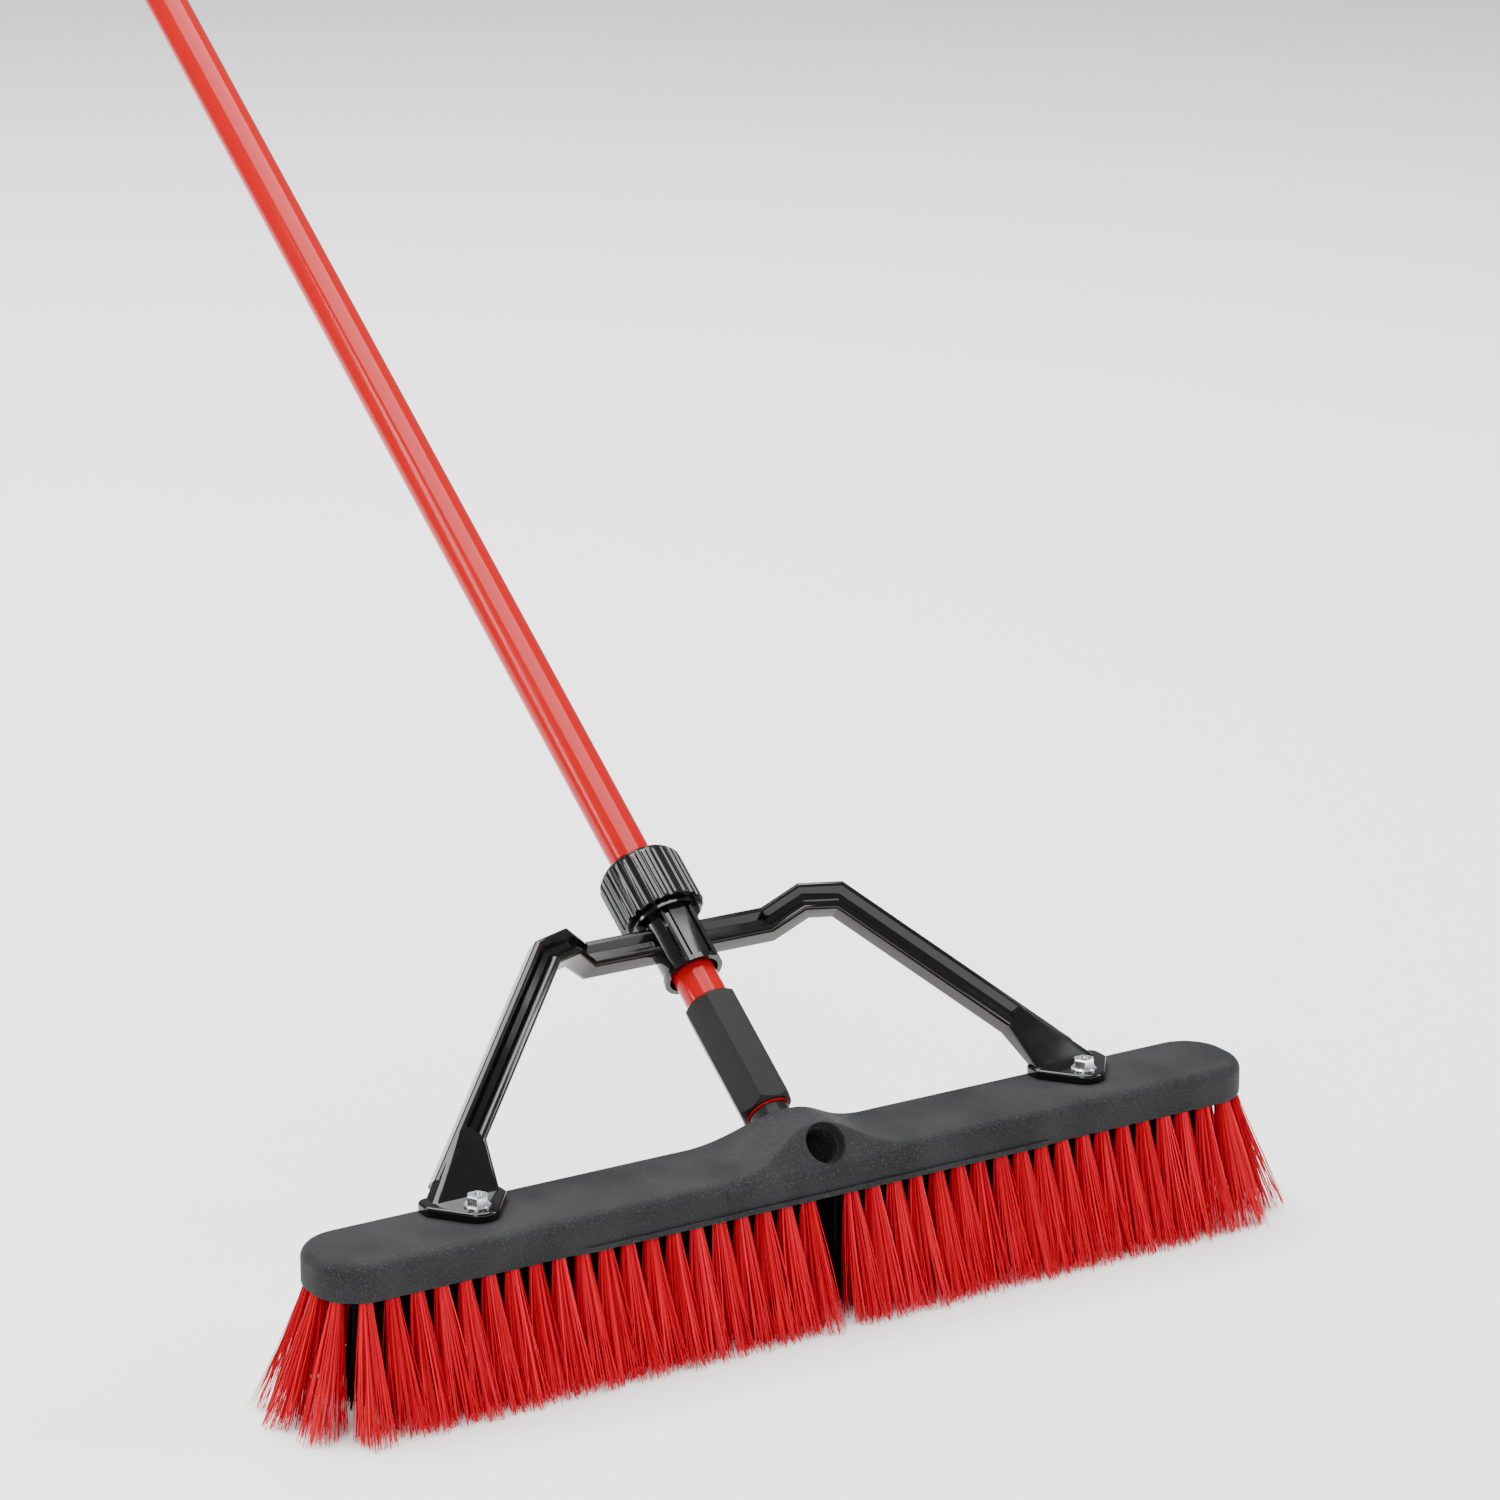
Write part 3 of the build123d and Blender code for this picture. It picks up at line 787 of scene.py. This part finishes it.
class BROOM_OT_stage(bpy.types.Operator):
    """Lay the pale floor and set the soft studio lights and the camera"""

    bl_idname = "broom.stage"
    bl_label = "Stage"

    def execute(self, context):
        scene = context.scene
        settings = scene.broom_stage
        self.lay_floor(scene)
        self.set_world(scene)
        target = Vector(settings.aim)
        self.add_softbox(scene, "Overhead softbox", (0.0, 1.6, 4.2), OVERHEAD_AIM, 4.5, 4.5, 620.0)
        self.add_softbox(scene, "Key softbox", (-2.3, -2.6, 2.0), target, 1.3, 1.6, 75.0)
        self.add_softbox(scene, "Right strip", (2.6, -1.3, 1.5), target, 0.35, 2.6, 48.0)
        self.add_softbox(scene, "Left strip", (-2.5, 1.3, 1.5), target, 0.3, 2.6, 40.0)
        data = bpy.data.cameras.new("Camera")
        data.lens = settings.lens
        data.sensor_width = SENSOR_WIDTH
        data.clip_end = CLIP_END
        camera = bpy.data.objects.new("Camera", data)
        scene.collection.objects.link(camera)
        a, e = settings.azimuth, settings.elevation
        back = Vector((math.sin(a) * math.cos(e), -math.cos(a) * math.cos(e), math.sin(e)))
        camera.location = target + back * settings.distance
        camera.rotation_euler = (math.pi / 2 - e, 0, a)
        bpy.context.scene.camera = camera
        return {"FINISHED"}

    def lay_floor(self, scene):
        """One plain pale sheet at the bristles' tips."""
        mesh = bpy.data.meshes.new("floor")
        corners = [(x * FLOOR_HALF, y * FLOOR_HALF, 0) for x, y in ((-1, -1), (1, -1), (1, 1), (-1, 1))]
        mesh.from_pydata(corners, [], [(0, 1, 2, 3)])
        material, shader = new_material("Pale Floor", roughness=0.9, specular=0.1)
        shader.inputs["Base Color"].default_value = FLOOR_TONE
        mesh.materials.append(material)
        floor = bpy.data.objects.new("floor", mesh)
        scene.collection.objects.link(floor)

    def set_world(self, scene):
        """A soft even white all round."""
        world = bpy.data.worlds.new("Studio")
        world.use_nodes = True
        background = world.node_tree.nodes["Background"]
        background.inputs["Color"].default_value = (1, 1, 1, 1)
        background.inputs["Strength"].default_value = WORLD_STRENGTH
        scene.world = world

    def add_softbox(self, scene, name, place, target, width, height, power):
        """A rectangular area light that faces its target."""
        data = bpy.data.lights.new(name, "AREA")
        data.shape = "RECTANGLE"
        data.size = width
        data.size_y = height
        data.energy = power
        light = bpy.data.objects.new(name, data)
        light.location = place
        light.rotation_euler = (target - Vector(place)).to_track_quat("-Z", "Y").to_euler()
        scene.collection.objects.link(light)


class BROOM_PT_panel(bpy.types.Panel):
    """Lists the broom's pieces"""

    bl_label = "Push Broom"
    bl_idname = "BROOM_PT_panel"
    bl_space_type = "VIEW_3D"
    bl_region_type = "UI"
    bl_category = "Broom"

    def draw(self, context):
        layout = self.layout
        for operator in STEPS:
            layout.operator(operator)
        scene = context.scene
        for group in (scene.broom_bristles, scene.broom_finish, scene.broom_stage):
            box = layout.box()
            for name in group.bl_rna.properties.keys():
                if name not in ("rna_type", "name"):
                    box.prop(group, name)


STEPS = (
    "broom.stage",
    "broom.block",
    "broom.brace",
    "broom.handle",
    "broom.black_bristles",
    "broom.red_bristles",
)
CLASSES = (
    BroomBristleSettings,
    BroomFinishSettings,
    BroomStageSettings,
    BROOM_OT_stage,
    BROOM_OT_block,
    BROOM_OT_brace,
    BROOM_OT_handle,
    BROOM_OT_black_bristles,
    BROOM_OT_red_bristles,
    BROOM_PT_panel,
)


def register():
    """Makes the broom's settings, operators and panel known to Blender."""
    for cls in CLASSES:
        bpy.utils.register_class(cls)
    bpy.types.Scene.broom_bristles = bpy.props.PointerProperty(type=BroomBristleSettings)
    bpy.types.Scene.broom_finish = bpy.props.PointerProperty(type=BroomFinishSettings)
    bpy.types.Scene.broom_stage = bpy.props.PointerProperty(type=BroomStageSettings)


def unregister():
    """Takes them out again."""
    del bpy.types.Scene.broom_bristles
    del bpy.types.Scene.broom_finish
    del bpy.types.Scene.broom_stage
    for cls in reversed(CLASSES):
        bpy.utils.unregister_class(cls)


def main():
    """Builds the whole scene."""
    register()
    for step in STEPS:
        area, name = step.split(".")
        getattr(getattr(bpy.ops, area), name)()


if __name__ == "__main__":
    main()
